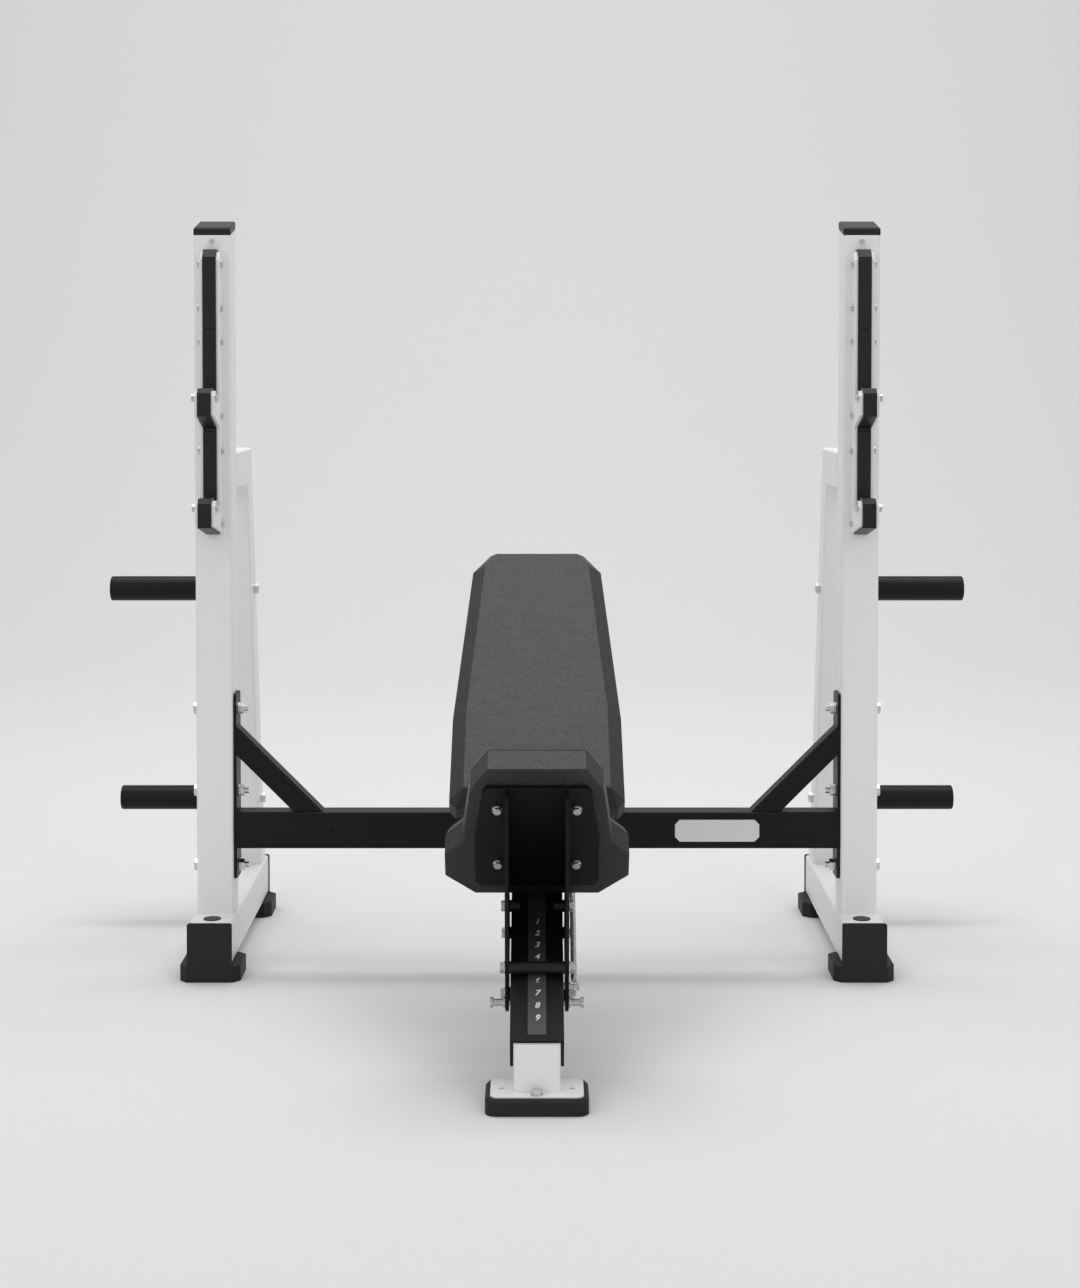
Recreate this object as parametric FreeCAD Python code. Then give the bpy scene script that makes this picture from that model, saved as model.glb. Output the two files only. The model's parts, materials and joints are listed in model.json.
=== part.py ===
import FreeCAD, Part
import math
import os

# Olympic incline bench press: two white racks on floor tubes, a black cross member between them,
# and an inclined centre rail that carries a fixed back pad and a sliding seat.
# Millimetres. X is the width, +Y is the back (away from the lifter's feet), +Z is up.
# The origin is on the floor, under the centre of the whole bench.

V = FreeCAD.Vector

# ---------------------------------------------------------------- driving dimensions
RACK_X = 616.0                # centre plane of each rack
FOOT_W, FOOT_H = 80.0, 80.0   # floor tube section
FOOT_Z = 30.0                 # underside of the floor tube, on its boots
FOOT_Y0, FOOT_Y1 = 79.0, 646.0
END_CAP = 7.0                 # thickness of the boots' end walls
BOOT_W, BOOT_LEN = 114.0, 104.0
BOOT_CHAMFER = 14.0
PLUG_R = 15.0                 # round plug in the floor tube's top
PLUG_BACK = 34.0              # its centre, back from the tube's front end

POST_W = 70.0                 # square tube of the upright, tie and rear strut
POST_Y0 = 154.0               # front face of the upright
POST_TOP = 1406.0             # upright's top at its front face
POST_TOP_RISE = 16.0          # the top is cut higher at the back
CAP_T = 15.0
CAP_SCREW_Z = 1395.0
WALL = 3.0
CORNER = 5.0

TIE_Z0, TIE_Z1 = 920.0, 992.0
STRUT_Y = 389.0               # front face of the rear strut where it meets the tie
STRUT_SLOPE = 0.2151          # how far the strut moves back for each mm it goes down
STRUT_DEPTH = 71.6            # strut measured along Y

HOOK_TOPS = (1117.0, 912.0)   # top of each hook's nose
LINER_T = 25.0
HOOK_PLATE_T = 6.0
LINER_FRONT = 112.0
RACK_TOP = 1378.0
RACK_BOTTOM = 838.0
NOSE_FRONT, NOSE_BACK = 41.0, 79.0
LINER_PROUD = 5.0             # the liner stands out of the steel plates by this much
LINER_SPLITS = (1228.0, 1036.0)
STRIP_BOLT_Z = (1351.0, 1268.0, 1205.0, 1066.0, 999.0, 861.0)
STRIP_BOLT_Y = 136.0
NOSE_BOLT_Y = 60.0
NOSE_BOLT_DROP = 18.0

PEG_R = 25.0
PEG_LEN = 222.0
PEG_Z = (702.0, 251.0)

BEAM_Z0, BEAM_Z1 = 235.0, 305.0
BEAM_Y0, BEAM_Y1 = 154.0, 204.0
VENT_X = (-392.0, -306.0)     # two small vent holes in the cross member's front
FLANGE_T = 6.0
FLANGE_Z0, FLANGE_Z1 = 175.0, 531.0
FLANGE_Y0, FLANGE_Y1 = 159.0, 219.0
FRAME_BOLT_Z = (500.0, 341.0, 197.0)
FRAME_BOLT_Y = 189.0
GUSSET_REACH = 165.0          # leg of the 45 degree gusset's outer edge
GUSSET_T = 40.0

RAIL_ANGLE = 33.0             # rail above the floor
RAIL_Y, RAIL_Z = -621.0, 108.0  # lower end of the rail's top face
RAIL_W, RAIL_D, RAIL_T = 85.0, 60.0, 5.0
RAIL_LEN = 1080.0
NOTCH_PITCH = 25.0
NOTCH_COUNT = 9
LOCK_S = 135.0                # lock shaft's place along the rail
LOCK_R = 6.0
LOCK_REACH = 74.0             # half the lock shaft's length
LOCK_ENGAGED_T = -56.0
LOCK_RELEASED_T = -68.5

LEG_W, LEG_Y0, LEG_Y1 = 73.0, -621.0, -571.0
BASE_TOP = 28.0
BASE_PLATE_T = 8.0
BASE_Y0, BASE_Y1 = -653.0, -551.0
BASE_W = 162.0
BASE_RIM = 8.0
BASE_HOLE_X, BASE_HOLE_Y, BASE_HOLE_R = 55.0, -604.0, 4.5
BASE_BOLT_Y = -634.0

SIDE_PLATE_IN, SIDE_PLATE_T = 45.5, 6.0
SEAT_MOUNT_S0, SEAT_MOUNT_T = 293.4, 6.0
SEAT_S0, SEAT_S1 = 299.4, 365.0
SEAT_BEVEL, SEAT_BEVEL_S = 7.0, 20.0   # bevel across the seat's faces, and along the rail
SEAT_T0 = 10.0                # rear edge of the seat above the rail's top face
BOARD_T = 12.0
GLIDE_R = 10.0
GLIDE_GAP = 0.6
GLIDE_HIGH = GLIDE_R + GLIDE_GAP + 0.8   # centre of a glide that runs on the rail's top face
GLIDE_LOW = -RAIL_D - GLIDE_R - GLIDE_GAP
GLIDE_BARS = ((138.0, GLIDE_HIGH), (156.0, GLIDE_LOW), (286.0, GLIDE_LOW))
STUB_S = 270.0                # two short glides beside the scale, one at each side plate
STUB_LEN = 18.0
SEAT_BOLT_X = 64.5
SEAT_BOLT_T = (86.5, 210.0)

BRACKET_T = 4.0
BACK_BOARD_T = 16.0            # top of the board above the rail's top face
BACK_WIDEST_T = 42.0
BACK_TOP_T = 68.0
BACK_BEVEL = 24.0
BACK_BOLT_S = (560.0, 1000.0)
BACK_BOLT_X = 24.0

# half outlines as (half width, distance); the other half is mirrored
BACK_OUTLINE = ((140.0, 466.0), (152.0, 483.0), (152.0, 690.0), (125.5, 1114.0), (92.0, 1168.0))
SEAT_OUTLINE = ((102.6, 0.0), (152.0, 42.0), (152.0, 91.0), (122.7, 121.0), (108.0, 236.0), (79.0, 282.0))
SEAT_MOUNT_OUTLINE = ((95.0, 25.0), (102.0, 35.0), (102.0, 130.0), (87.0, 237.0), (80.0, 247.0))
SIDE_PLATE_OUTLINE = (
    (293.4, 250.0), (270.0, 250.0), (190.0, 162.0), (133.0, 25.0), (120.0, -70.0),
    (134.0, -90.0), (282.0, -90.0), (302.0, -62.0), (302.0, 4.0), (293.4, 12.0),
)

SPRING_X = 60.0
SPRING_R = 5.0
SPRING_LOW = (140.0, -35.0)   # the seat's anchor on the right side plate, along and above the rail
SPRING_HIGH = (520.0, -35.0)  # the fixed anchor on the rail's side
SPRING_EYE = 5.6
ANCHOR_R = 3.0


# ---------------------------------------------------------------- small helpers
def box(x0, x1, y0, y1, z0, z1):
    return Part.makeBox(x1 - x0, y1 - y0, z1 - z0, V(x0, y0, z0))


def bar_x(x, half_width, y0, y1, z0, z1):
    """A box that reaches half_width each side of x."""
    return box(x - half_width, x + half_width, y0, y1, z0, z1)


def rod(centre, direction, radius, length):
    return Part.makeCylinder(radius, length, V(*centre), V(*direction))


def prism(points, along):
    """A closed polygon of 3-D points, extruded by a vector."""
    corners = [V(*p) for p in points]
    wire = Part.makePolygon(corners + [corners[0]])
    return Part.Face(wire).extrude(V(*along))


def soften(shape, direction, radius, shortest=20.0):
    """Rounds the straight edges that run along a direction."""
    line = V(*direction).normalize()
    edges = []
    for edge in shape.Edges:
        if not isinstance(edge.Curve, Part.Line) or edge.Length < shortest:
            continue
        if edge.tangentAt(edge.FirstParameter).cross(line).Length < 1e-4:
            edges.append(edge)
    return shape.makeFillet(radius, edges)


def profile_yz(points, x0, x1):
    return prism([(x0, y, z) for y, z in points], (x1 - x0, 0, 0))


def inset_polygon(points, distance):
    """Moves every side of a counter-clockwise polygon inwards."""
    moved = []
    count = len(points)
    for i in range(count):
        before, here, after = points[i - 1], points[i], points[(i + 1) % count]
        d1 = V(here[0] - before[0], here[1] - before[1], 0).normalize()
        d2 = V(after[0] - here[0], after[1] - here[1], 0).normalize()
        n1, n2 = V(-d1.y, d1.x, 0), V(-d2.y, d2.x, 0)
        bisector = (n1 + n2).normalize()
        reach = distance / bisector.dot(n1)
        moved.append((here[0] + bisector.x * reach, here[1] + bisector.y * reach))
    return moved


def mirrored(half):
    """A full outline from a half one: right side going up, then left side coming down."""
    right = [(w, s) for w, s in half]
    left = [(-w, s) for w, s in reversed(half)]
    return right + left


def on_rail(shape):
    """Places a shape built in rail coordinates: X across, Y along the rail, Z off its top face."""
    placed = shape.copy()
    placed.rotate(V(0, 0, 0), V(1, 0, 0), RAIL_ANGLE)
    placed.translate(V(0, RAIL_Y, RAIL_Z))
    return placed


def hexagon(across_flats, height, start, direction):
    """A hex prism with its base at start, along a direction."""
    radius = across_flats / math.sqrt(3)
    turns = [math.radians(60 * i) for i in range(6)]
    ring = [V(radius * math.cos(a), radius * math.sin(a), 0) for a in turns]
    solid = Part.Face(Part.makePolygon(ring + [ring[0]])).extrude(V(0, 0, height))
    cone = Part.makeCone(radius + height * 0.55, radius * 0.9, height * 1.001)
    solid = solid.common(cone)
    turn = FreeCAD.Rotation(V(0, 0, 1), V(*direction))
    solid.Placement = FreeCAD.Placement(V(*start), turn)
    return solid


def bolt(head_at, direction, grip, radius, head, nut, tail):
    """A hex bolt with washers: the head's bearing face is at head_at and the nut sits past the grip."""
    line = V(*direction).normalize()
    start = V(*head_at)
    washer_t = radius * 0.3
    washer_r = radius * 2.0
    back = line * -1
    parts = [Part.makeCylinder(washer_r, washer_t, start - line * washer_t, line)]
    parts.append(hexagon(radius * 3.2, head, tuple(start - line * washer_t), tuple(back)))
    reach = grip + (washer_t + nut + tail if nut else 0)
    parts.append(Part.makeCylinder(radius, reach + washer_t, start - line * washer_t, line))
    if nut:
        seat = start + line * grip
        parts.append(Part.makeCylinder(washer_r, washer_t, seat, line))
        parts.append(hexagon(radius * 3.2, nut, tuple(seat + line * washer_t), tuple(line)))
    solid = parts[0]
    for piece in parts[1:]:
        solid = solid.fuse(piece)
    return solid.removeSplitter()


def save(name, *shapes):
    """Writes one node: a single solid, or several solids as a group."""
    solids = [s for shape in shapes for s in shape.Solids]
    whole = solids[0] if len(solids) == 1 else Part.makeCompound(solids)
    whole.exportStep("parts/" + name + ".step")


# ---------------------------------------------------------------- one rack, at x = side * RACK_X
def foot_tube(side):
    x = side * RACK_X
    top = FOOT_Z + FOOT_H
    outer = soften(bar_x(x, FOOT_W / 2, FOOT_Y0, FOOT_Y1, FOOT_Z, top), (0, 1, 0), CORNER)
    inner = bar_x(x, FOOT_W / 2 - WALL, FOOT_Y0, FOOT_Y1, FOOT_Z + WALL, top - WALL)
    hole = rod((x, FOOT_Y0 + PLUG_BACK, top - 10), (0, 0, 1), PLUG_R, 20)
    return outer.cut(inner).cut(hole)


def boot(side, y_end, inward):
    """Rubber boot under and over one end of a floor tube. inward is +1 or -1 along Y."""
    x = side * RACK_X
    outline = []
    for dx, dy in ((1, 0), (1, 1), (-1, 1), (-1, 0)):
        corner_x = x + dx * BOOT_W / 2
        corner_y = y_end - inward * END_CAP + inward * dy * BOOT_LEN
        step_x, step_y = -dx * BOOT_CHAMFER, inward * (BOOT_CHAMFER if dy == 0 else -BOOT_CHAMFER)
        pair = [(corner_x + step_x, corner_y, 0), (corner_x, corner_y + step_y, 0)]
        outline += pair if (dx > 0) == (dy == 0) else pair[::-1]
    base = prism(outline, (0, 0, FOOT_Z))
    waist = box(x - 26, x + 26, *sorted((y_end + inward * 38, y_end + inward * 62)), 0, 6)
    wall = bar_x(x, FOOT_W / 2 + 2, *sorted((y_end - inward * END_CAP, y_end)), 0, FOOT_Z + FOOT_H + 1)
    wall = soften(wall, (0, 1, 0), 4.0, 5.0)
    return base.cut(waist).fuse(wall).removeSplitter()


def foot_plug(side):
    x, y = side * RACK_X, FOOT_Y0 + PLUG_BACK
    top = FOOT_Z + FOOT_H
    flange = Part.makeCylinder(PLUG_R + 1.5, 1.5, V(x, y, top))
    stem = Part.makeCylinder(PLUG_R - 0.3, 8, V(x, y, top - 8))
    return flange.fuse(stem)


def upright(side):
    x = side * RACK_X
    y0, y1 = POST_Y0, POST_Y0 + POST_W
    bottom = FOOT_Z + FOOT_H
    side_view = [(y0, bottom), (y1, bottom), (y1, POST_TOP + POST_TOP_RISE), (y0, POST_TOP)]
    outer = soften(profile_yz(side_view, x - POST_W / 2, x + POST_W / 2), (0, 0, 1), CORNER, 500)
    inner = bar_x(x, POST_W / 2 - WALL, y0 + WALL, y1 - WALL, bottom, POST_TOP + 40)
    shape = outer.cut(inner)
    for z in FRAME_BOLT_Z:
        shape = shape.cut(rod((x - POST_W, FRAME_BOLT_Y, z), (1, 0, 0), 6.3, POST_W * 2))
    return shape.cut(rod((x, POST_Y0 - 5, CAP_SCREW_Z), (0, 1, 0), 2.6, 10))


def upright_cap(side):
    """Sloped end cap with bevelled upper edges and a plug that fits inside the tube."""
    x = side * RACK_X
    y0, y1 = POST_Y0, POST_Y0 + POST_W
    half = POST_W / 2
    lower = [V(x - half, y0, POST_TOP), V(x + half, y0, POST_TOP)]
    lower += [V(x + half, y1, POST_TOP + POST_TOP_RISE), V(x - half, y1, POST_TOP + POST_TOP_RISE)]
    slab_face = Part.Face(Part.makePolygon(lower + [lower[0]]))
    slab = slab_face.extrude(V(0, 0, CAP_T))
    top_edges = [e for e in slab.Edges if e.BoundBox.ZMin > POST_TOP + CAP_T - 0.01 and e.Length > 60]
    slab = slab.makeChamfer(3.0, top_edges)
    inset = WALL + 0.2
    plug = bar_x(x, half - inset, y0 + inset, y1 - inset, POST_TOP - 22, POST_TOP + 8)
    plug = plug.cut(rod((x, POST_Y0, CAP_SCREW_Z), (0, 1, 0), 2.6, 20))
    return slab.fuse(plug).removeSplitter()


def cap_screw(side):
    x = side * RACK_X
    head = Part.makeCylinder(4.5, 3.0, V(x, POST_Y0, CAP_SCREW_Z), V(0, -1, 0))
    socket = Part.makeCylinder(1.8, 2.0, V(x, POST_Y0 - 3.0, CAP_SCREW_Z), V(0, 1, 0))
    shank = Part.makeCylinder(2.5, 14.0, V(x, POST_Y0, CAP_SCREW_Z), V(0, 1, 0))
    return head.fuse(shank).cut(socket)


def tie(side):
    """Level tube from the upright back to the mitre with the rear strut."""
    x = side * RACK_X
    y0 = POST_Y0 + POST_W
    mitre_top = STRUT_Y - (TIE_Z1 - TIE_Z0) * STRUT_SLOPE + STRUT_DEPTH
    view = [(y0, TIE_Z0), (STRUT_Y, TIE_Z0), (mitre_top, TIE_Z1), (y0, TIE_Z1)]
    outer = soften(profile_yz(view, x - POST_W / 2, x + POST_W / 2), (0, 1, 0), CORNER)
    inner = bar_x(x, POST_W / 2 - WALL, y0, mitre_top + 10, TIE_Z0 + WALL, TIE_Z1 - WALL)
    return outer.cut(inner)


def strut_front(z):
    return STRUT_Y + (TIE_Z0 - z) * STRUT_SLOPE


def rear_strut(side):
    x = side * RACK_X
    foot_top = FOOT_Z + FOOT_H
    high = (strut_front(TIE_Z1) + STRUT_DEPTH, TIE_Z1)
    low_y = strut_front(foot_top)
    view = [(low_y, foot_top), (low_y + STRUT_DEPTH, foot_top), high, (STRUT_Y, TIE_Z0)]
    slope = (0, STRUT_SLOPE, -1)
    outer = soften(profile_yz(view, x - POST_W / 2, x + POST_W / 2), slope, CORNER, 500)
    wide = WALL * math.sqrt(1 + STRUT_SLOPE ** 2)
    inner_view = [(strut_front(0) + wide, 0), (strut_front(0) + STRUT_DEPTH - wide, 0)]
    inner_view += [(strut_front(1100) + STRUT_DEPTH - wide, 1100), (strut_front(1100) + wide, 1100)]
    shape = outer.cut(profile_yz(inner_view, x - POST_W / 2 + WALL, x + POST_W / 2 - WALL))
    for z in PEG_Z:
        shape = shape.cut(rod((x - POST_W, peg_y(z), z), (1, 0, 0), 6.3, POST_W * 2))
    return shape


def peg_y(z):
    return strut_front(z) + STRUT_DEPTH / 2


def hook_outline(proud, back):
    """Side outline with two hooks as an edge list. proud is how far steel sits inside the liner's faces."""
    front = LINER_FRONT + proud
    nose_front, nose_back = NOSE_FRONT + proud, NOSE_BACK - proud
    saddle_r = (front - nose_back) / 2
    points = [(back, RACK_TOP - proud), (front + 13, RACK_TOP - proud), (front, RACK_TOP - 15 - proud)]
    chain = [("line", points)]
    for top, under in zip(HOOK_TOPS, (front, back)):
        centre_z = top - 32 + (LINER_FRONT - NOSE_BACK) / 2
        lowest = ((front + nose_back) / 2, centre_z - saddle_r)
        chain.append(("arc", [(front, centre_z), lowest, (nose_back, centre_z)]))
        nose = [(nose_back, top - proud), (nose_front + 9, top - proud), (nose_front, top - 9 - proud)]
        drop = 52 if under == front else 54
        rise = 24 if under == front else 20
        nose += [(nose_front, top - drop + proud * 0.6), (under, top - drop - rise + proud * 0.6)]
        chain.append(("line", nose))
    edges = []
    last = None
    for kind, run in chain:
        if last is not None:
            edges.append(Part.makeLine(V(0, *last), V(0, *run[0])))
        if kind == "arc":
            edges.append(Part.Arc(*[V(0, y, z) for y, z in run]).toShape())
        else:
            edges += [Part.makeLine(V(0, *a), V(0, *b)) for a, b in zip(run, run[1:])]
        last = run[-1]
    edges.append(Part.makeLine(V(0, *last), V(0, *points[0])))
    return Part.Wire(edges)


def hook_bolt_places():
    places = [(STRIP_BOLT_Y, z) for z in STRIP_BOLT_Z]
    return places + [(NOSE_BOLT_Y, top - NOSE_BOLT_DROP) for top in HOOK_TOPS]


def hook_slab(x0, thickness, proud, back):
    slab = Part.Face(hook_outline(proud, back)).extrude(V(thickness, 0, 0))
    slab.translate(V(x0, 0, 0))
    for y, z in hook_bolt_places():
        slab = slab.cut(rod((x0 - 1, y, z), (1, 0, 0), 4.2, thickness + 2))
    return slab


def hook_plate(side, outer):
    x = side * RACK_X
    away = side if outer else -side
    low = min(away * LINER_T / 2, away * (LINER_T / 2 + HOOK_PLATE_T))
    return hook_slab(x + low, HOOK_PLATE_T, LINER_PROUD, POST_Y0)


def liners(side):
    """Three plastic liner lengths between the steel plates, from the top down."""
    whole = hook_slab(side * RACK_X - LINER_T / 2, LINER_T, 0.0, POST_Y0 - 3)
    gap = 0.5
    high, low = LINER_SPLITS
    bounds = [(high + gap, 1500.0), (low + gap, high - gap), (0.0, low - gap)]
    return [whole.common(box(-2000, 2000, -50, 300, z0, z1)) for z0, z1 in bounds]


def hook_bolts(side):
    grip = LINER_T + 2 * HOOK_PLATE_T
    x = side * (RACK_X + grip / 2)
    return [bolt((x, y, z), (-side, 0, 0), grip, 4.0, 5.5, 3.5, 0.5) for y, z in hook_bolt_places()]


def peg(side, z):
    x = side * (RACK_X + POST_W / 2)
    y = peg_y(z)
    body = rod((x, y, z), (side, 0, 0), PEG_R, PEG_LEN)
    end = side * (RACK_X + POST_W / 2 + PEG_LEN)
    rims = [e for e in body.Edges if isinstance(e.Curve, Part.Circle) and abs(e.BoundBox.XMin - end) < 0.1]
    body = body.makeFillet(3.0, rims)
    bore = rod((x + side * 10, y, z), (side, 0, 0), PEG_R - 4, PEG_LEN - 14)
    return body.cut(bore).cut(rod((x - side, y, z), (side, 0, 0), 6.0, 12))


def peg_bolt(side, z):
    return bolt((side * (RACK_X - POST_W / 2), peg_y(z), z), (side, 0, 0), POST_W + 9.5, 5.8, 8.0, 0, 0)


def flange(side):
    x0, x1 = sorted((side * (RACK_X - POST_W / 2), side * (RACK_X - POST_W / 2 - FLANGE_T)))
    plate = soften(box(x0, x1, FLANGE_Y0, FLANGE_Y1, FLANGE_Z0, FLANGE_Z1), (1, 0, 0), 8.0, 2.0)
    for z in FRAME_BOLT_Z:
        plate = plate.cut(rod((x0 - 1, FRAME_BOLT_Y, z), (1, 0, 0), 6.3, FLANGE_T + 2))
    return plate


def gusset(side):
    """Square tube at 45 degrees from the flange down to the cross member."""
    start = RACK_X - POST_W / 2 - FLANGE_T
    band = GUSSET_T * math.sqrt(2)
    y0 = (BEAM_Y0 + BEAM_Y1 - GUSSET_T) / 2
    view = [(start, BEAM_Z1 + GUSSET_REACH), (start, BEAM_Z1 + GUSSET_REACH - band)]
    view += [(start - GUSSET_REACH + band, BEAM_Z1), (start - GUSSET_REACH, BEAM_Z1)]
    outer = prism([(side * x, y0, z) for x, z in view], (0, GUSSET_T, 0))
    outer = soften(outer, (side, 0, 1), 3.0, 60)
    thin = WALL * math.sqrt(2)
    deep = start - GUSSET_REACH
    top = BEAM_Z1 + GUSSET_REACH + 50
    core = [(start + 50, top - thin), (start + 50, top - band + thin)]
    core += [(deep - 50 + band - thin, BEAM_Z1 - 50), (deep - 50 + thin, BEAM_Z1 - 50)]
    return outer.cut(prism([(side * x, y0 + WALL, z) for x, z in core], (0, GUSSET_T - 2 * WALL, 0)))


def frame_bolts(side):
    x = side * (RACK_X + POST_W / 2)
    grip = POST_W + FLANGE_T
    return [bolt((x, FRAME_BOLT_Y, z), (-side, 0, 0), grip, 6.0, 7.5, 10.0, 8.0) for z in FRAME_BOLT_Z]


# ---------------------------------------------------------------- centre frame
def cross_member():
    half = RACK_X - POST_W / 2 - FLANGE_T
    outer = soften(box(-half, half, BEAM_Y0, BEAM_Y1, BEAM_Z0, BEAM_Z1), (1, 0, 0), 4.0)
    shape = outer.cut(box(-half, half, BEAM_Y0 + WALL, BEAM_Y1 - WALL, BEAM_Z0 + WALL, BEAM_Z1 - WALL))
    for x in VENT_X:
        shape = shape.cut(rod((x, BEAM_Y0 - 1, (BEAM_Z0 + BEAM_Z1) / 2), (0, 1, 0), 1.6, WALL + 2))
    return shape


def badge():
    """Blank name plate with cut corners, on the front of the cross member."""
    x0, x1, z0, z1, cut = 264.0, 425.0, 249.0, 291.0, 9.0
    view = [(x0 + cut, z0), (x1 - cut, z0), (x1, z0 + cut), (x1, z1 - cut)]
    view += [(x1 - cut, z1), (x0 + cut, z1), (x0, z1 - cut), (x0, z0 + cut)]
    return prism([(x, BEAM_Y0, z) for x, z in view], (0, -2.0, 0))


def under_rail(y):
    """Height of the underside of the rail's top web at a place along Y."""
    drop = RAIL_T / math.cos(math.radians(RAIL_ANGLE))
    return RAIL_Z + (y - RAIL_Y) * math.tan(math.radians(RAIL_ANGLE)) - drop


def stub_post(half_width, y0, y1, bottom):
    """Tube that stands up between the rail's side walls and meets its top web."""
    view = [(y0, bottom), (y1, bottom), (y1, under_rail(y1)), (y0, under_rail(y0))]
    outer = soften(profile_yz(view, -half_width, half_width), (0, 0, 1), CORNER, 60)
    return outer.cut(box(-half_width + WALL, half_width - WALL, y0 + WALL, y1 - WALL, bottom, bottom + 900))


def rail():
    """Inverted channel. Nine round notches in the lower edges of its side walls take the lock shaft."""
    half = RAIL_W / 2
    outer = soften(box(-half, half, 0, RAIL_LEN, -RAIL_D, 0), (0, 1, 0), 4.0)
    outer = outer.fuse(box(-half, half, 0, RAIL_LEN, -RAIL_D, -RAIL_D + 6)).removeSplitter()
    shape = outer.cut(box(-half + RAIL_T, half - RAIL_T, 0, RAIL_LEN, -RAIL_D - 1, -RAIL_T))
    for i in range(NOTCH_COUNT):
        s = LOCK_S + (i - NOTCH_COUNT // 2) * NOTCH_PITCH
        round_end = rod((-half - 1, s, LOCK_ENGAGED_T), (1, 0, 0), LOCK_R + 0.4, RAIL_W + 2)
        throat = box(-half - 1, half + 1, s - LOCK_R - 0.4, s + LOCK_R + 0.4, -RAIL_D - 1, LOCK_ENGAGED_T)
        shape = shape.cut(round_end.fuse(throat))
    for s in BACK_BOLT_S:
        for x in (-BACK_BOLT_X, BACK_BOLT_X):
            shape = shape.cut(rod((x, s, -RAIL_T - 1), (0, 0, 1), 4.3, RAIL_T + 2))
    return on_rail(shape.cut(rod((half - RAIL_T - 1, *SPRING_HIGH), (1, 0, 0), ANCHOR_R + 0.2, RAIL_T + 2)))


def scale_strip():
    """Thin position scale on the rail's top face, below the back pad."""
    return on_rail(box(-14.5, 14.5, 12.0, 395.0, 0, 0.8))


def base_plate():
    half, low = BASE_W / 2 - BASE_RIM, BASE_TOP - BASE_PLATE_T
    plate = bar_x(0, half, BASE_Y0 + BASE_RIM, BASE_Y1 - BASE_RIM, low, BASE_TOP)
    plate = soften(plate, (0, 0, 1), 12.0, 5)
    for x in (-BASE_HOLE_X, BASE_HOLE_X):
        plate = plate.cut(rod((x, BASE_HOLE_Y, 0), (0, 0, 1), BASE_HOLE_R, 60))
    return plate.cut(rod((0, BASE_BOLT_Y, 0), (0, 0, 1), 5.2, 60))


def base_pad():
    """Rubber tray under the front base plate, with a rim round the plate and flared sides."""
    half, z1 = BASE_W / 2, BASE_TOP - 2
    body = soften(box(-half, half, BASE_Y0, BASE_Y1, 0, z1), (0, 0, 1), 18.0, 5)
    top = [e for e in body.Edges if e.BoundBox.ZMin > z1 - 0.01]
    body = body.makeChamfer(4.0, top)
    rim = BASE_RIM - 0.3
    pocket = bar_x(0, half - rim, BASE_Y0 + rim, BASE_Y1 - rim, BASE_TOP - BASE_PLATE_T, 60)
    body = body.cut(soften(pocket, (0, 0, 1), 12.3, 5))
    for x in (-BASE_HOLE_X, BASE_HOLE_X):
        body = body.cut(rod((x, BASE_HOLE_Y, -5), (0, 0, 1), BASE_HOLE_R, 60))
    return body


def base_bolt():
    head_at = (0, BASE_BOLT_Y, BASE_TOP)
    return bolt(head_at, (0, 0, -1), BASE_PLATE_T, 5.0, 6.5, 0, 0)


# ---------------------------------------------------------------- sliding seat, in rail coordinates
def side_plate(side):
    x0, x1 = sorted((side * SIDE_PLATE_IN, side * (SIDE_PLATE_IN + SIDE_PLATE_T)))
    plate = prism([(x0, s, t) for s, t in SIDE_PLATE_OUTLINE], (x1 - x0, 0, 0))
    for s, t in glide_places():
        plate = plate.cut(rod((x0 - 1, s, t), (1, 0, 0), 5.2, SIDE_PLATE_T + 2))
    slot_r = LOCK_R + 0.4
    for t in (LOCK_ENGAGED_T, LOCK_RELEASED_T):
        plate = plate.cut(rod((x0 - 1, LOCK_S, t), (1, 0, 0), slot_r, SIDE_PLATE_T + 2))
    plate = plate.cut(box(x0 - 1, x1 + 1, LOCK_S - slot_r, LOCK_S + slot_r, LOCK_RELEASED_T, LOCK_ENGAGED_T))
    if side > 0:
        plate = plate.cut(rod((x0 - 1, *SPRING_LOW), (1, 0, 0), ANCHOR_R + 0.2, SIDE_PLATE_T + 2))
    return on_rail(plate)


def glide_places():
    """Centres of the plastic glides: two places over the rail and two under it."""
    return list(GLIDE_BARS) + [(STUB_S, GLIDE_HIGH)]


def glides():
    pieces = []
    for s, t in GLIDE_BARS:
        bar = rod((-SIDE_PLATE_IN, s, t), (1, 0, 0), GLIDE_R, 2 * SIDE_PLATE_IN)
        pieces.append(on_rail(bar.cut(rod((-SIDE_PLATE_IN - 1, s, t), (1, 0, 0), 5.2, 2 * SIDE_PLATE_IN + 2))))
    for side in (-1, 1):
        start = (side * SIDE_PLATE_IN, STUB_S, GLIDE_HIGH)
        stub = rod(start, (-side, 0, 0), GLIDE_R, STUB_LEN)
        pieces.append(on_rail(stub.cut(rod(start, (-side, 0, 0), 5.2, STUB_LEN - 3))))
    return pieces


def glide_bolts():
    outer = SIDE_PLATE_IN + SIDE_PLATE_T
    through = [bolt((-outer, s, t), (1, 0, 0), 2 * outer, 5.0, 6.5, 8.0, 3.0) for s, t in GLIDE_BARS]
    grip = SIDE_PLATE_T + STUB_LEN - 4
    short = [bolt((side * outer, STUB_S, GLIDE_HIGH), (-side, 0, 0), grip, 5.0, 6.5, 0, 0) for side in (-1, 1)]
    return [on_rail(b) for b in through + short]


def outline_prism(half_outline, s0, s1):
    """A plate square to the rail: the outline's distances are measured up from the seat's rear edge."""
    full = [(w, s0, SEAT_T0 + d) for w, d in mirrored(half_outline)]
    return prism(full, (0, s1 - s0, 0))


def seat_carriage():
    """Weldment: both side plates and the mounting plate across their upper edges."""
    return seat_mount().fuse(side_plate(-1)).fuse(side_plate(1)).removeSplitter()


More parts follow.
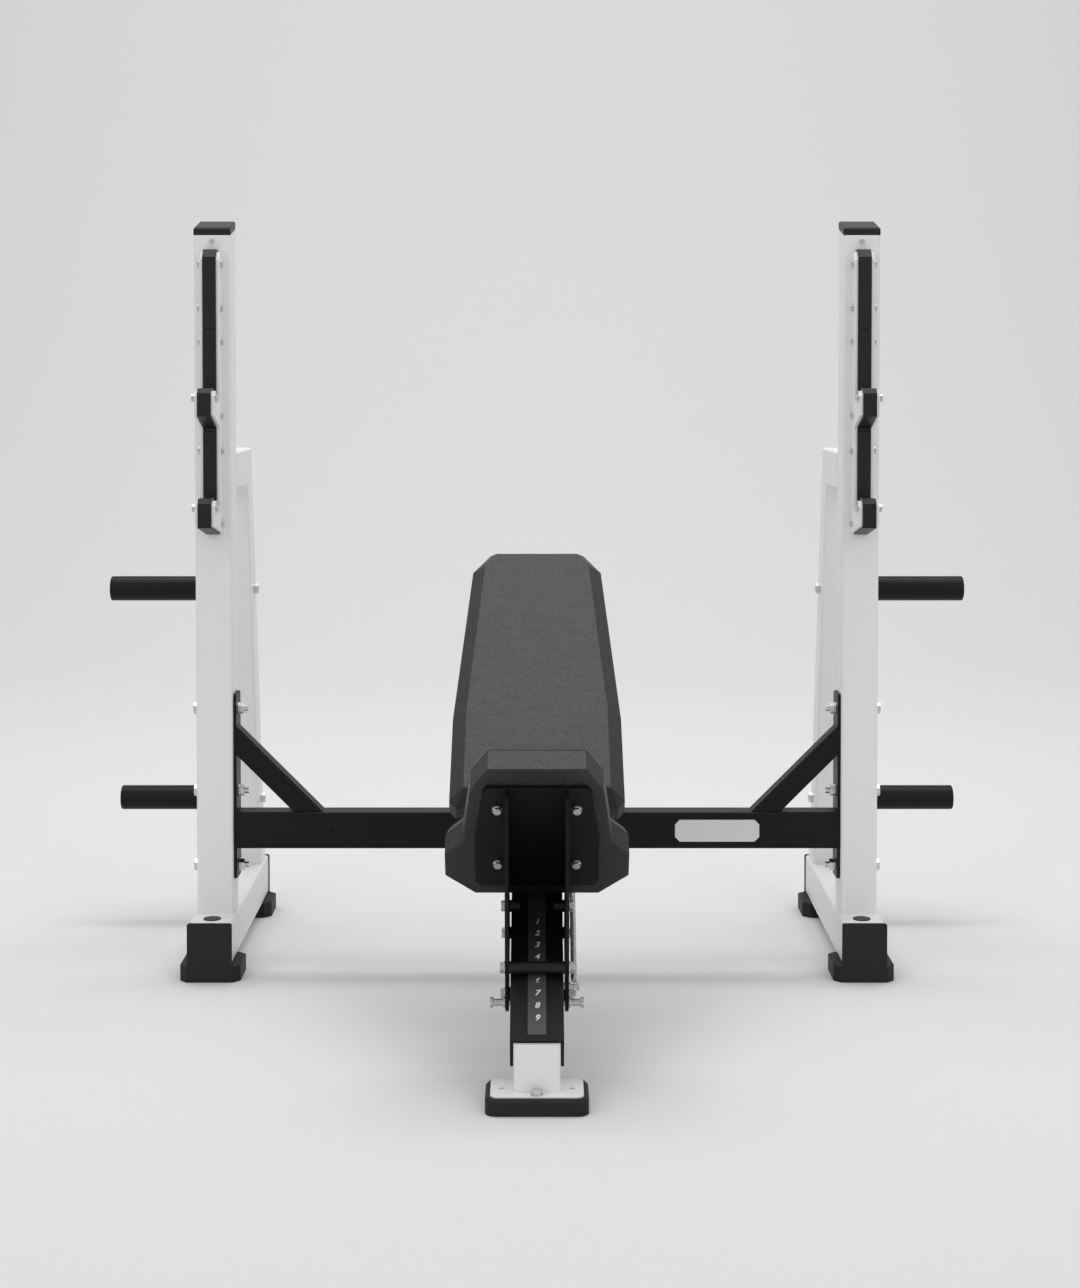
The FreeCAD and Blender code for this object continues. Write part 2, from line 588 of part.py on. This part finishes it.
def seat_mount():
    plate = outline_prism(SEAT_MOUNT_OUTLINE, SEAT_MOUNT_S0, SEAT_MOUNT_S0 + SEAT_MOUNT_T)
    for x, t in seat_bolt_places():
        plate = plate.cut(rod((x, SEAT_MOUNT_S0 - 1, t), (0, 1, 0), 4.2, SEAT_MOUNT_T + 2))
    return on_rail(plate)


def seat_bolt_places():
    return [(x, t) for x in (-SEAT_BOLT_X, SEAT_BOLT_X) for t in SEAT_BOLT_T]


def seat_board_raw():
    smaller = [(w - 12, d + (6 if d < 100 else -6)) for w, d in SEAT_OUTLINE]
    return outline_prism(smaller, SEAT_S0, SEAT_S0 + BOARD_T)


def seat_board():
    board = seat_board_raw()
    for x, t in seat_bolt_places():
        board = board.cut(rod((x, SEAT_S0 - 1, t), (0, 1, 0), 4.2, BOARD_T + 2))
    return on_rail(board)


def seat_pad():
    """Foam block with a vinyl cover round the board, with the top edges bevelled."""
    lower = outline_prism(SEAT_OUTLINE, SEAT_S0, SEAT_S1 - SEAT_BEVEL_S)
    full = mirrored(SEAT_OUTLINE)
    small = inset_polygon(full, SEAT_BEVEL)
    rings = []
    for ring, s in ((full, SEAT_S1 - SEAT_BEVEL_S), (small, SEAT_S1)):
        corners = [V(w, s, SEAT_T0 + d) for w, d in ring]
        rings.append(Part.makePolygon(corners + [corners[0]]))
    crown = Part.makeLoft(rings, True, True)
    whole = lower.fuse(crown).removeSplitter()
    for x, t in seat_bolt_places():
        whole = whole.cut(rod((x, SEAT_S0, t), (0, 1, 0), 4.2, BOARD_T + 4))
    return on_rail(whole.cut(seat_board_raw()))


def seat_bolts():
    grip = SEAT_MOUNT_T + BOARD_T
    starts = [(x, SEAT_MOUNT_S0, t) for x, t in seat_bolt_places()]
    return [on_rail(bolt(start, (0, 1, 0), grip, 4.0, 5.5, 0, 0)) for start in starts]


def lock_shaft():
    """Cross shaft that rises into the rail's notches. Drawn pulled clear, with a collar at each end."""
    reach = LOCK_REACH
    shaft = rod((-reach, LOCK_S, LOCK_RELEASED_T), (1, 0, 0), LOCK_R, 2 * reach)
    gap = 0.4
    for side in (-1, 1):
        x = side * (SIDE_PLATE_IN + SIDE_PLATE_T + gap)
        shaft = shaft.fuse(rod((x, LOCK_S, LOCK_RELEASED_T), (side, 0, 0), LOCK_R + 3, 2.5))
        shaft = shaft.fuse(rod((side * (reach - 3), LOCK_S, LOCK_RELEASED_T), (side, 0, 0), LOCK_R + 3, 5))
    return on_rail(shaft.removeSplitter())


def seat_spring():
    """Tension spring as one closed solid: its coil body and an eye at each end."""
    low, high = V(SPRING_X, *SPRING_LOW), V(SPRING_X, *SPRING_HIGH)
    line = (high - low).normalize()
    wire = 1.4
    length = (high - low).Length - 2 * (SPRING_EYE + wire)
    shape = Part.makeCylinder(SPRING_R, length, low + line * (SPRING_EYE + wire), line)
    for centre in (low, high):
        shape = shape.fuse(Part.makeTorus(SPRING_EYE, wire, centre, V(1, 0, 0)))
    return on_rail(shape)


def anchor(place, face_x, wall):
    """Shouldered bolt through a wall whose outer face is at face_x. It holds one eye of the spring."""
    s, t = place
    back = face_x - wall
    shank = rod((back - 2.5, s, t), (1, 0, 0), ANCHOR_R, SPRING_X + 4 - back + 2.5)
    collar = rod((face_x, s, t), (1, 0, 0), 6.0, 3.0)
    inner = rod((back - 2.5, s, t), (1, 0, 0), 5.5, 2.5)
    head = hexagon(12.0, 4.5, (SPRING_X + 4, s, t), (1, 0, 0))
    return on_rail(shank.fuse(collar).fuse(inner).fuse(head).removeSplitter())


# ---------------------------------------------------------------- back pad, in rail coordinates
def back_board():
    board_half = [(w - 14, s + (10 if s < 700 else -10)) for w, s in BACK_OUTLINE]
    board = prism([(w, s, BRACKET_T) for w, s in mirrored(board_half)], (0, 0, BACK_BOARD_T - BRACKET_T))
    for s in BACK_BOLT_S:
        for x in (-BACK_BOLT_X, BACK_BOLT_X):
            board = board.cut(rod((x, s, -1), (0, 0, 1), 4.3, BACK_BOARD_T + 2))
    return on_rail(board)


def back_brackets():
    """Two flat steel straps across the rail that the board sits on."""
    straps = []
    for s in BACK_BOLT_S:
        strap = soften(box(-105, 105, s - 30, s + 30, 0, BRACKET_T), (0, 0, 1), 6.0, 3.0)
        for x in (-BACK_BOLT_X, BACK_BOLT_X):
            strap = strap.cut(rod((x, s, -1), (0, 0, 1), 4.3, BRACKET_T + 2))
        straps.append(on_rail(strap))
    return straps


def back_pad():
    full = mirrored(BACK_OUTLINE)
    small = inset_polygon(full, BACK_BEVEL)
    lower = prism([(w, s, BACK_BOARD_T) for w, s in full], (0, 0, BACK_WIDEST_T - BACK_BOARD_T))
    rings = []
    for ring, t in ((full, BACK_WIDEST_T), (small, BACK_TOP_T)):
        corners = [V(w, s, t) for w, s in ring]
        rings.append(Part.makePolygon(corners + [corners[0]]))
    crown = Part.makeLoft(rings, True, True)
    return on_rail(lower.fuse(crown).removeSplitter())


def back_bolts():
    places = [(x, s) for x in (-BACK_BOLT_X, BACK_BOLT_X) for s in BACK_BOLT_S]
    grip = RAIL_T + BACK_BOARD_T
    return [on_rail(bolt((x, s, -RAIL_T), (0, 0, 1), grip, 4.0, 5.5, 0, 0)) for x, s in places]


# ---------------------------------------------------------------- the whole bench
def main():
    os.makedirs("parts", exist_ok=True)
    for side, name in ((-1, "left"), (1, "right")):
        save(name + "_foot_tube", foot_tube(side))
        save(name + "_front_boot", boot(side, FOOT_Y0, 1))
        save(name + "_rear_boot", boot(side, FOOT_Y1, -1))
        save(name + "_upright", upright(side))
        save(name + "_upright_cap", upright_cap(side))
        save(name + "_top_tie", tie(side))
        save(name + "_rear_strut", rear_strut(side))
        save(name + "_outer_hook_plate", hook_plate(side, True))
        save(name + "_inner_hook_plate", hook_plate(side, False))
        for part_name, solid in zip(("top", "upper_hook", "lower_hook"), liners(side)):
            save(name + "_liner_" + part_name, solid)
        save(name + "_upper_peg", peg(side, PEG_Z[0]))
        save(name + "_lower_peg", peg(side, PEG_Z[1]))
        save(name + "_flange", flange(side))
        save(name + "_gusset", gusset(side))
    save("foot_plugs", foot_plug(-1), foot_plug(1))
    save("cap_screws", cap_screw(-1), cap_screw(1))
    save("hook_bolts", *hook_bolts(-1), *hook_bolts(1))
    save("frame_bolts", *frame_bolts(-1), *frame_bolts(1))
    save("peg_bolts", *[peg_bolt(side, z) for side in (-1, 1) for z in PEG_Z])
    save("cross_member", cross_member())
    save("badge", badge())
    save("rail_post", stub_post(35.0, BEAM_Y0, BEAM_Y1, BEAM_Z1))
    save("front_leg", stub_post(LEG_W / 2, LEG_Y0, LEG_Y1, BASE_TOP))
    save("rail", rail())
    save("scale_strip", scale_strip())
    save("base_plate", base_plate())
    save("base_pad", base_pad())
    save("base_bolt", base_bolt())
    save("seat_carriage", seat_carriage())
    save("seat_glides", *glides())
    save("glide_bolts", *glide_bolts())
    save("seat_board", seat_board())
    save("seat_pad", seat_pad())
    save("seat_bolts", *seat_bolts())
    save("lock_shaft", lock_shaft())
    save("seat_spring", seat_spring())
    save("seat_anchor", anchor(SPRING_LOW, SIDE_PLATE_IN + SIDE_PLATE_T, SIDE_PLATE_T))
    save("rail_anchor", anchor(SPRING_HIGH, RAIL_W / 2, RAIL_T))
    save("back_brackets", *back_brackets())
    save("back_board", back_board())
    save("back_pad", back_pad())
    save("back_bolts", *back_bolts())


main()
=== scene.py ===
import bpy
import json
import math
from mathutils import Matrix, Vector


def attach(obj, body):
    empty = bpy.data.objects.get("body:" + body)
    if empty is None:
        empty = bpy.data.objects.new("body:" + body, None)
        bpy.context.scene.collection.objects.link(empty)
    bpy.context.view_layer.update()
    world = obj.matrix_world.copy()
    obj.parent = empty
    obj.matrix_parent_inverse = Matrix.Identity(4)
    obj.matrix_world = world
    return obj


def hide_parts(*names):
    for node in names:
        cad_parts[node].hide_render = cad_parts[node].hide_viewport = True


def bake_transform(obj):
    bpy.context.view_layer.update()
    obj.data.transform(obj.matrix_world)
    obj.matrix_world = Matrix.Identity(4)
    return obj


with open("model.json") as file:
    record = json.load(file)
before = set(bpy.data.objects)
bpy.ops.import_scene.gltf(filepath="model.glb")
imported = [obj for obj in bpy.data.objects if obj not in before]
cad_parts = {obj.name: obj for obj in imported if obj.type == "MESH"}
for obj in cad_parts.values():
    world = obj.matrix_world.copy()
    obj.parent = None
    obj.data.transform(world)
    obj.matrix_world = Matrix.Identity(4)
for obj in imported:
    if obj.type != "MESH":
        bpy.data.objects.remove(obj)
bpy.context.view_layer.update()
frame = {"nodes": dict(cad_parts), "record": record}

nodes = frame["nodes"]

# ---------------------------------------------------------------- dimensions, in metres
RAIL_ANGLE = math.radians(33)
RAIL_START = Vector((0, -0.621, 0.108))
ALONG = Vector((0, math.cos(RAIL_ANGLE), math.sin(RAIL_ANGLE)))
OFF = Vector((0, -math.sin(RAIL_ANGLE), math.cos(RAIL_ANGLE)))
ACROSS = Vector((1, 0, 0))

# half outlines as (half width, distance along the pad); the other half is mirrored
BACK_OUTLINE = ((0.140, 0.466), (0.152, 0.483), (0.152, 0.690), (0.1255, 1.114), (0.092, 1.168))
SEAT_OUTLINE = (
    (0.1026, 0.0), (0.152, 0.042), (0.152, 0.091), (0.1227, 0.121), (0.108, 0.236), (0.079, 0.282),
)
# rings of each pad as (height, inset); the fourth is the groove of the seam, and the last two end the bevel
BACK_LEVELS = (
    (0.0165, 0.004), (0.0165, 0.0), (0.041, 0.0), (0.042, 0.0015), (0.043, 0.0), (0.067, 0.023), (0.068, 0.025),
)
SEAT_LEVELS = (
    (0.0, 0.003), (0.001, 0.0), (0.044, 0.0), (0.045, 0.0012), (0.046, 0.0), (0.0646, 0.0065), (0.0656, 0.0080),
)
CROWN_INSET = 0.028           # how far inside the face's edge the crowned middle starts
ROUND_WIDTH, ROUND_SEGMENTS = 0.004, 4
SEAT_UNDERSIDE = 0.2994       # along the rail
SEAT_REAR = 0.010             # its rear edge, off the rail
BACK_CROWN, SEAT_CROWN = 0.0025, 0.0

SPRING_X = 0.060
SPRING_LOW = (0.140, -0.035)
SPRING_HIGH = (0.520, -0.035)
SPRING_EYE = 0.0056
SPRING_R, WIRE_R, COILS = 0.0044, 0.0008, 150
EYE_GAP = 0.003               # from each eye to the first coil
COIL_STEPS, EYE_STEPS = 10, 25
EYE_TURN = 14                 # degrees between the points of an eye
EYE_TILT = 10                 # degrees between an eye's first point and the spring's line
WIRE_SIDES = 6

DIGIT_SIZE = 0.0155
DIGIT_FIRST, DIGIT_PITCH = 0.245, 0.025
DIGIT_LIFT = 0.00090          # off the rail, on the face of the strip
DIGIT_SLANT, DIGIT_DEPTH, DIGIT_WEIGHT = 0.25, 0.00005, 0.00030

CAMERA_Y, CAMERA_Z = -3.9475, 1.160
CAMERA_PITCH = math.radians(2.04)
CAMERA_LENS = 60.34           # millimetres, on a 36 mm sensor
LENS_SHIFT = (0.002329193, -0.1568323)    # off the lens's axis, as parts of the picture's height

FLOOR_FRONT, FLOOR_END, FLOOR_LEVEL = -9.0, 4.0, -0.0005
CURVE_RADIUS, CURVE_STEPS = 5.0, 16
BACKDROP_TOP, BACKDROP_HALF = 12.0, 14.0
WORLD_STRENGTH = 0.41


def rail_point(x, s, t):
    """A point by its place across, along and off the inclined rail."""
    return RAIL_START + ACROSS * x + ALONG * s + OFF * t


# ---------------------------------------------------------------- materials
def material(name, colour, roughness, metallic=0.0, grain=None, edge=0.0, specular=0.5):
    """grain is (noise scale, bump distance, spread of roughness); edge is the radius seen on sharp corners."""
    m = bpy.data.materials.new(name)
    m.use_nodes = True
    tree = m.node_tree
    shader = tree.nodes["Principled BSDF"]
    shader.inputs["Base Color"].default_value = (*colour, 1)
    shader.inputs["Roughness"].default_value = roughness
    shader.inputs["Metallic"].default_value = metallic
    shader.inputs["Specular IOR Level"].default_value = specular
    scale, depth, spread = grain
    place = tree.nodes.new("ShaderNodeTexCoord")
    noise = tree.nodes.new("ShaderNodeTexNoise")
    noise.inputs["Scale"].default_value = scale
    noise.inputs["Detail"].default_value = 4
    tree.links.new(place.outputs["Object"], noise.inputs["Vector"])
    bump = tree.nodes.new("ShaderNodeBump")
    bump.inputs["Distance"].default_value = depth
    bump.inputs["Strength"].default_value = 0.5
    tree.links.new(noise.outputs["Fac"], bump.inputs["Height"])
    if edge:
        rounded = tree.nodes.new("ShaderNodeBevel")
        rounded.samples = 6
        rounded.inputs["Radius"].default_value = edge
        tree.links.new(rounded.outputs["Normal"], bump.inputs["Normal"])
    tree.links.new(bump.outputs["Normal"], shader.inputs["Normal"])
    spread_map = tree.nodes.new("ShaderNodeMapRange")
    spread_map.inputs["To Min"].default_value = roughness - spread
    spread_map.inputs["To Max"].default_value = roughness + spread
    tree.links.new(noise.outputs["Fac"], spread_map.inputs["Value"])
    tree.links.new(spread_map.outputs["Result"], shader.inputs["Roughness"])
    return m


CELL_SCALE, CELL_DEPTH, CELL_STRENGTH = 300, 0.0012, 0.8
WANDER_SCALE, WANDER = 45, 0.012


def leather(name, colour):
    """Grained vinyl: small rounded cells, their places stirred by noise so that they don't line up."""
    m = material(name, colour, 0.46, grain=(900, 0.00006, 0.05), edge=0, specular=0.40)
    tree = m.node_tree
    place = next(n for n in tree.nodes if n.type == "TEX_COORD")
    old = next(n for n in tree.nodes if n.type == "BUMP")
    cells = tree.nodes.new("ShaderNodeTexVoronoi")
    cells.feature = "SMOOTH_F1"
    cells.inputs["Scale"].default_value = CELL_SCALE
    wander = tree.nodes.new("ShaderNodeTexNoise")
    wander.inputs["Scale"].default_value = WANDER_SCALE
    mix = tree.nodes.new("ShaderNodeMix")
    mix.data_type = "VECTOR"
    mix.inputs["Factor"].default_value = WANDER
    tree.links.new(place.outputs["Object"], wander.inputs["Vector"])
    # sockets 4 and 5 going in and 1 coming out are the mix's vectors
    tree.links.new(place.outputs["Object"], mix.inputs[4])
    tree.links.new(wander.outputs["Color"], mix.inputs[5])
    tree.links.new(mix.outputs[1], cells.inputs["Vector"])
    bump = tree.nodes.new("ShaderNodeBump")
    bump.inputs["Distance"].default_value = CELL_DEPTH
    bump.inputs["Strength"].default_value = CELL_STRENGTH
    bump.invert = True
    tree.links.new(cells.outputs["Distance"], bump.inputs["Height"])
    tree.links.new(bump.outputs["Normal"], old.inputs["Normal"])
    return m


SLOTS = {
    "white_frame": material(
        "white_frame", (0.84, 0.84, 0.84), 0.42, grain=(700, 0.00003, 0.04), edge=0.0012
    ),
    "black_frame": material(
        "black_frame", (0.0035, 0.0035, 0.0037), 0.46, grain=(800, 0.00005, 0.05), edge=0.0010, specular=0.22
    ),
    "black_plastic": material(
        "black_plastic", (0.006, 0.006, 0.0065), 0.42, grain=(500, 0.00004, 0.05), edge=0.0012, specular=0.35
    ),
    "black_rubber": material(
        "black_rubber", (0.010, 0.010, 0.0105), 0.60, grain=(600, 0.00006, 0.05), edge=0.0016, specular=0.35
    ),
    "upholstery": leather("upholstery", (0.019, 0.019, 0.020)),
    "plywood": material("plywood", (0.03, 0.026, 0.022), 0.7, grain=(120, 0.00010, 0.05), edge=0.0008),
    "zinc": material("zinc", (0.66, 0.66, 0.67), 0.28, 1.0, grain=(300, 0.00002, 0.06), edge=0.0004),
    "silver_plate": material(
        "silver_plate", (0.72, 0.72, 0.73), 0.34, 0.85, grain=(400, 0.00002, 0.05), edge=0.0003
    ),
    "scale_film": material("scale_film", (0.045, 0.045, 0.047), 0.40, grain=(400, 0.00001, 0.03), edge=0),
}
NUMERALS = material("numerals", (0.80, 0.80, 0.80), 0.5, grain=(400, 0.00001, 0.03), edge=0)

for entry in frame["record"]["subparts"]:
    part = nodes[entry["node"]]
    part.data.materials.clear()
    part.data.materials.append(SLOTS[entry["material_slot"]])


# ---------------------------------------------------------------- mesh helpers
def mesh_object(name, points, faces, mat):
    mesh = bpy.data.meshes.new(name)
    mesh.from_pydata([tuple(p) for p in points], [], faces)
    mesh.validate()
    mesh.materials.append(mat)
    obj = bpy.data.objects.new(name, mesh)
    bpy.context.scene.collection.objects.link(obj)
    return obj


def smooth(obj, width, segments):
    """Rounds every crease of a pad, and shades it softly."""
    for polygon in obj.data.polygons:
        polygon.use_smooth = True
    bevel = obj.modifiers.new("round", "BEVEL")
    bevel.width = width
    bevel.segments = segments
    bevel.limit_method = "ANGLE"
    bevel.angle_limit = math.radians(12)
    bevel.harden_normals = True


def inset_outline(points, distance):
    """Moves every side of a counter-clockwise outline inwards."""
    moved = []
    for i, here in enumerate(points):
        before, after = points[i - 1], points[(i + 1) % len(points)]
        d1 = (Vector(here) - Vector(before)).normalized()
        d2 = (Vector(after) - Vector(here)).normalized()
        n1, n2 = Vector((-d1.y, d1.x)), Vector((-d2.y, d2.x))
        bisector = (n1 + n2).normalized()
        moved.append(tuple(Vector(here) + bisector * (distance / bisector.dot(n1))))
    return moved


def pad(name, half_outline, levels, crown_rise, place):
    """A closed upholstered block: rings of its outline at each height, then a slightly crowned face."""
    outline = list(half_outline) + [(-w, d) for w, d in reversed(half_outline)]
    count = len(outline)
    points, faces = [], []
    for height, inset in levels:
        points += [place(w, d, height) for w, d in inset_outline(outline, inset)]
    for level in range(len(levels) - 1):
        low, high = level * count, (level + 1) * count
        for i in range(count):
            j = (i + 1) % count
            faces.append((low + i, low + j, high + j, high + i))
    faces.append(tuple(range(count - 1, -1, -1)))
    top_height, top_inset = levels[-1]
    top = (len(levels) - 1) * count
    crown_ring = inset_outline(outline, top_inset + CROWN_INSET)
    points += [place(w, d, top_height + crown_rise) for w, d in crown_ring]
    crown = top + count
    for i in range(count):
        j = (i + 1) % count
        faces.append((top + i, top + j, crown + j, crown + i))
    faces.append(tuple(range(crown, crown + count)))
    obj = mesh_object(name, points, faces, SLOTS["upholstery"])
    smooth(obj, ROUND_WIDTH, ROUND_SEGMENTS)
    return obj


def tube(name, path, radius, sides, mat):
    """A round wire swept along a path, closed at both ends."""
    points, faces = [], []
    normal = Vector((1, 0, 0))
    for i, here in enumerate(path):
        ahead = path[min(i + 1, len(path) - 1)] - path[max(i - 1, 0)]
        ahead.normalize()
        normal = (normal - ahead * normal.dot(ahead)).normalized()
        other = ahead.cross(normal)
        for k in range(sides):
            a = 2 * math.pi * k / sides
            points.append(here + (normal * math.cos(a) + other * math.sin(a)) * radius)
    for i in range(len(path) - 1):
        for k in range(sides):
            n = (k + 1) % sides
            faces.append((i * sides + k, i * sides + n, (i + 1) * sides + n, (i + 1) * sides + k))
    last = (len(path) - 1) * sides
    faces.append(tuple(range(sides - 1, -1, -1)))
    faces.append(tuple(range(last, last + sides)))
    obj = mesh_object(name, points, faces, mat)
    for polygon in obj.data.polygons:
        polygon.use_smooth = len(polygon.vertices) == 4
    return obj


# ---------------------------------------------------------------- pads
back = pad("back_pad_cover", BACK_OUTLINE, BACK_LEVELS, BACK_CROWN, rail_point)
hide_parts("back_pad")
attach(back, "frame")


def on_seat(w, d, h):
    """A point of the seat, which stands square to the rail."""
    return rail_point(w, SEAT_UNDERSIDE + h, SEAT_REAR + d)


seat = pad("seat_pad_cover", SEAT_OUTLINE, SEAT_LEVELS, SEAT_CROWN, on_seat)
seat.data.flip_normals()
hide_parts("seat_pad", "seat_board")
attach(seat, "seat")


# ---------------------------------------------------------------- assist spring, wound from wire
def spring_path():
    low = rail_point(SPRING_X, *SPRING_LOW)
    high = rail_point(SPRING_X, *SPRING_HIGH)
    line = (high - low).normalized()
    side = line.cross(ACROSS)
    start = low + line * (SPRING_EYE + EYE_GAP)
    end = high - line * (SPRING_EYE + EYE_GAP)
    path = []
    for i in range(EYE_STEPS):
        a = math.radians(360 - EYE_TILT - i * EYE_TURN)
        path.append(low + (line * math.cos(a) + side * math.sin(a)) * SPRING_EYE)
    steps = COILS * COIL_STEPS
    for i in range(steps + 1):
        a = 2 * math.pi * i / COIL_STEPS
        grow = min(1, i / COIL_STEPS, (steps - i) / COIL_STEPS)
        place = start.lerp(end, i / steps)
        path.append(place + (ACROSS * math.sin(a) + side * math.cos(a)) * SPRING_R * grow)
    for i in range(EYE_STEPS):
        a = math.radians(180 + EYE_TILT + i * EYE_TURN)
        path.append(high + (line * math.cos(a) + side * math.sin(a)) * SPRING_EYE)
    return path


spring = tube("seat_spring_wire", spring_path(), WIRE_R, WIRE_SIDES, SLOTS["zinc"])
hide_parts("seat_spring")
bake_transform(spring)


# ---------------------------------------------------------------- numerals on the position scale
def numeral(n):
    curve = bpy.data.curves.new("numeral_%d" % n, "FONT")
    curve.body = str(n)
    curve.size = DIGIT_SIZE
    curve.align_x = "CENTER"
    curve.align_y = "CENTER"
    curve.shear = DIGIT_SLANT
    curve.extrude = DIGIT_DEPTH
    curve.offset = DIGIT_WEIGHT
    curve.materials.append(NUMERALS)
    obj = bpy.data.objects.new("numeral_%d" % n, curve)
    bpy.context.scene.collection.objects.link(obj)
    place = rail_point(0, DIGIT_FIRST - (n - 1) * DIGIT_PITCH, DIGIT_LIFT)
    obj.matrix_world = Matrix.Translation(place) @ Matrix.Rotation(RAIL_ANGLE, 4, "X")
    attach(obj, "frame")


for n in range(1, 10):
    numeral(n)


# ---------------------------------------------------------------- studio
def sweep():
    """Floor that curves up into a plain backdrop."""
    profile = [(FLOOR_FRONT, FLOOR_LEVEL), (FLOOR_END, FLOOR_LEVEL)]
    for i in range(1, CURVE_STEPS + 1):
        a = math.radians(i * 90 / CURVE_STEPS)
        profile.append((FLOOR_END + CURVE_RADIUS * math.sin(a), CURVE_RADIUS - CURVE_RADIUS * math.cos(a)))
    profile.append((FLOOR_END + CURVE_RADIUS, BACKDROP_TOP))
    points = [(x, y, z) for y, z in profile for x in (-BACKDROP_HALF, BACKDROP_HALF)]
    faces = [(2 * i, 2 * i + 1, 2 * i + 3, 2 * i + 2) for i in range(len(profile) - 1)]
    mat = material("backdrop", (0.76, 0.76, 0.76), 0.85, grain=(30, 0.00001, 0.02), edge=0, specular=0.15)
    obj = mesh_object("backdrop", points, faces, mat)
    for polygon in obj.data.polygons:
        polygon.use_smooth = True
    return obj


def softbox(name, place, aim, size, power):
    lamp = bpy.data.lights.new(name, "AREA")
    lamp.shape = "RECTANGLE"
    lamp.size, lamp.size_y = size
    lamp.energy = power
    obj = bpy.data.objects.new(name, lamp)
    obj.location = place
    obj.rotation_euler = (Vector(aim) - Vector(place)).to_track_quat("-Z", "Y").to_euler()
    bpy.context.scene.collection.objects.link(obj)


sweep()
# each softbox: place, what it points at, size, watts
softbox("top", (0, 0.4, 4.6), (0, 0.2, 0), (4.0, 3.4), 92)
softbox("front_left", (-3.4, -4.6, 3.0), (0, 0, 0.7), (3.0, 3.0), 56)
softbox("front_right", (3.4, -4.6, 3.0), (0, 0, 0.7), (3.0, 3.0), 56)
softbox("backdrop_wash", (0, 2.6, 8.0), (0, 9.0, 2.0), (10.0, 3.0), 320)

world = bpy.data.worlds.new("studio")
bpy.context.scene.world = world
world.use_nodes = True
world.node_tree.nodes["Background"].inputs["Color"].default_value = (1, 1, 1, 1)
world.node_tree.nodes["Background"].inputs["Strength"].default_value = WORLD_STRENGTH
bpy.context.scene.view_settings.view_transform = "Standard"

camera = bpy.data.cameras.new("camera")
camera.sensor_width = 36
camera.lens = CAMERA_LENS
camera.shift_x, camera.shift_y = LENS_SHIFT
camera.clip_end = 60
view = bpy.data.objects.new("camera", camera)
view.location = (0, CAMERA_Y, CAMERA_Z)
view.rotation_euler = (math.radians(90) - CAMERA_PITCH, 0, 0)
bpy.context.scene.collection.objects.link(view)
bpy.context.scene.camera = view
